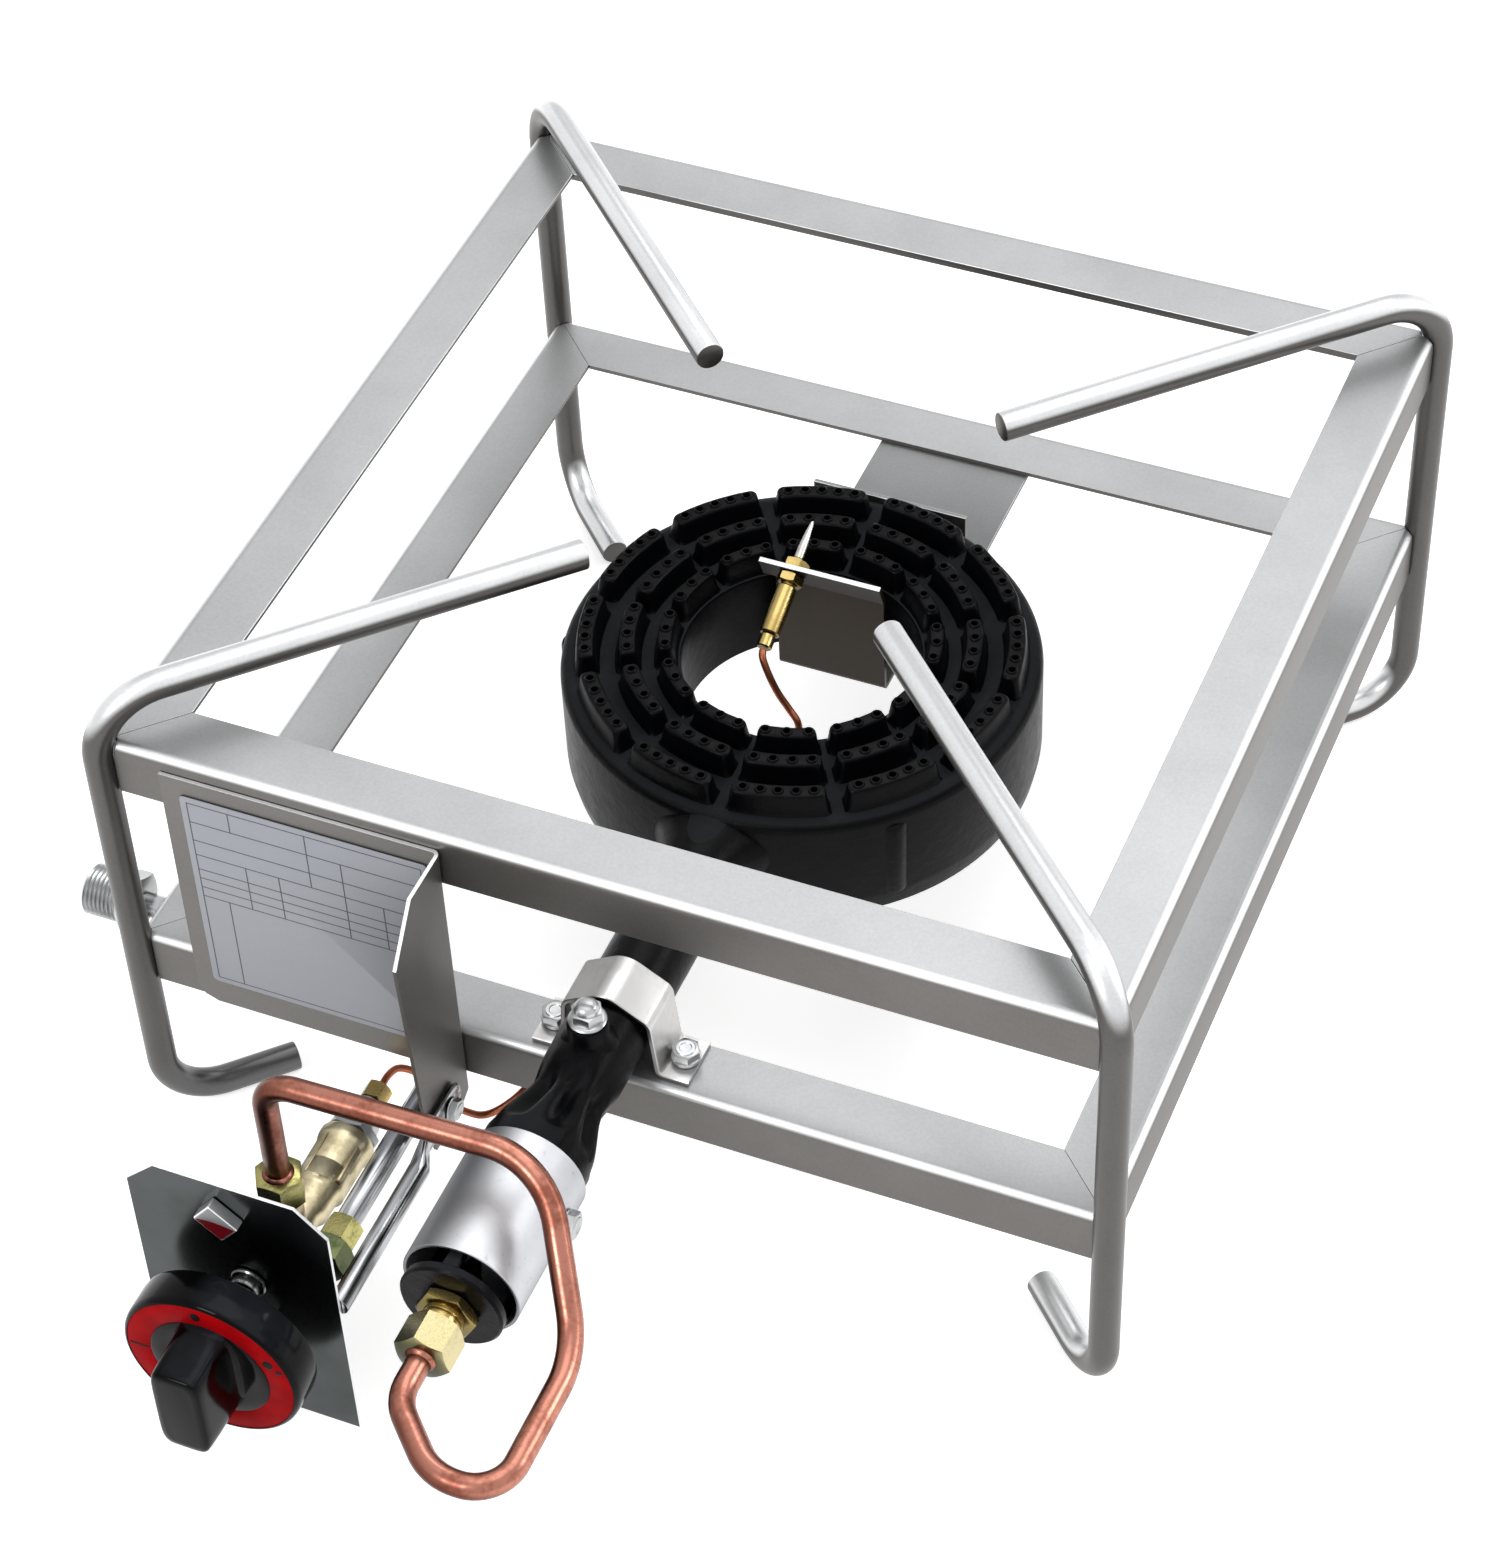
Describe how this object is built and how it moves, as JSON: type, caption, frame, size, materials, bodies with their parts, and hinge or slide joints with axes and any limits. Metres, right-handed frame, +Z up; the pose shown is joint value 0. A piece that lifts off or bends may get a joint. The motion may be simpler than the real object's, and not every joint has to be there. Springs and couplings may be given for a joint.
{
  "type": "stock pot range",
  "caption": "Gas stock pot stand: square double-ring frame on bent rod legs, cast ring burner, venturi with sliding air sleeve, tap with push knob.",
  "frame": {"origin": "middle of the bounding box on the plane the feet stand on", "axes": "+Z up, -Y towards the control knob at the front, +X to the right seen from the front"},
  "size_m": [0.4458, 0.6138, 0.2385],
  "materials": {
    "satin_steel": "satin ground stainless steel",
    "cast_iron": "black heat-resistant paint over cast iron",
    "aluminium": "turned",
    "brass": "turned, yellow-green",
    "copper": "drawn copper tube, dull",
    "zinc_plate": "zinc-plated steel",
    "chrome": "bright plated",
    "black_plastic": "gloss black moulding",
    "red_print": "red dial insert",
    "label": "bare silver label foil"
  },
  "bodies": {
    "frame": {"upper_rail_front": "satin_steel", "upper_rail_right": "satin_steel", "upper_rail_rear": "satin_steel", "upper_rail_left": "satin_steel", "lower_rail_front": "satin_steel", "lower_rail_right": "satin_steel", "lower_rail_rear": "satin_steel", "lower_rail_left": "satin_steel", "leg_front_left": "satin_steel", "leg_front_right": "satin_steel", "leg_rear_right": "satin_steel", "leg_rear_left": "satin_steel", "data_plate": "satin_steel", "rear_bracket": "satin_steel", "thermocouple_bracket": "satin_steel", "burner_casting": "cast_iron", "bare_label": "label", "boss_plug": "zinc_plate", "venturi_strap": "zinc_plate", "strap_washer_left": "zinc_plate", "strap_washer_right": "zinc_plate", "strap_bolt_left": "zinc_plate", "strap_bolt_right": "zinc_plate", "strap_nut_left": "zinc_plate", "strap_nut_right": "zinc_plate", "magnet_unit": "zinc_plate", "inlet_nipple": "zinc_plate", "control_panel": "zinc_plate", "strut_bolt": "zinc_plate", "strut_nut": "zinc_plate", "panel_screw": "zinc_plate", "panel_screw_nut": "zinc_plate", "injector_holder": "brass", "injector_jet": "brass", "injector_nut": "brass", "tap_body": "brass", "outlet_nut": "brass", "inlet_nut": "brass", "lead_nut": "brass", "thermocouple_body": "brass", "probe_nut_rear": "brass", "probe_nut_front": "brass", "probe_ferrule": "brass", "copper_supply_tube": "copper", "thermocouple_lead": "copper", "inlet_pipe": "chrome", "bushing_nut": "chrome", "index_mark": "chrome", "panel_strut": "chrome", "thermocouple_needle": "chrome"},
    "tap_plug": {"tap_plug": "brass"},
    "knob": {"knob": "black_plastic", "knob_ring": "red_print", "spindle": "chrome"},
    "air_sleeve": {"air_sleeve": "aluminium", "sleeve_bolt": "zinc_plate"}
  },
  "joints": [
    {"name": "knob_turn", "type": "hinge", "parent": "frame", "child": "tap_plug", "pos_m": [-0.07835, -0.20084, 0.0693], "axis": [0, -1, 0], "range_deg": [0, 200]},
    {"name": "knob_press", "type": "slide", "parent": "tap_plug", "child": "knob", "axis": [0, 1, 0], "range_m": [0, 0.0035], "stiffness_N_per_m": 1500, "springref_m": -0.004},
    {"name": "air_sleeve_slide", "type": "slide", "parent": "frame", "child": "air_sleeve", "axis": [0, 1, 0], "range_m": [-0.0025, 0.015]}
  ]
}
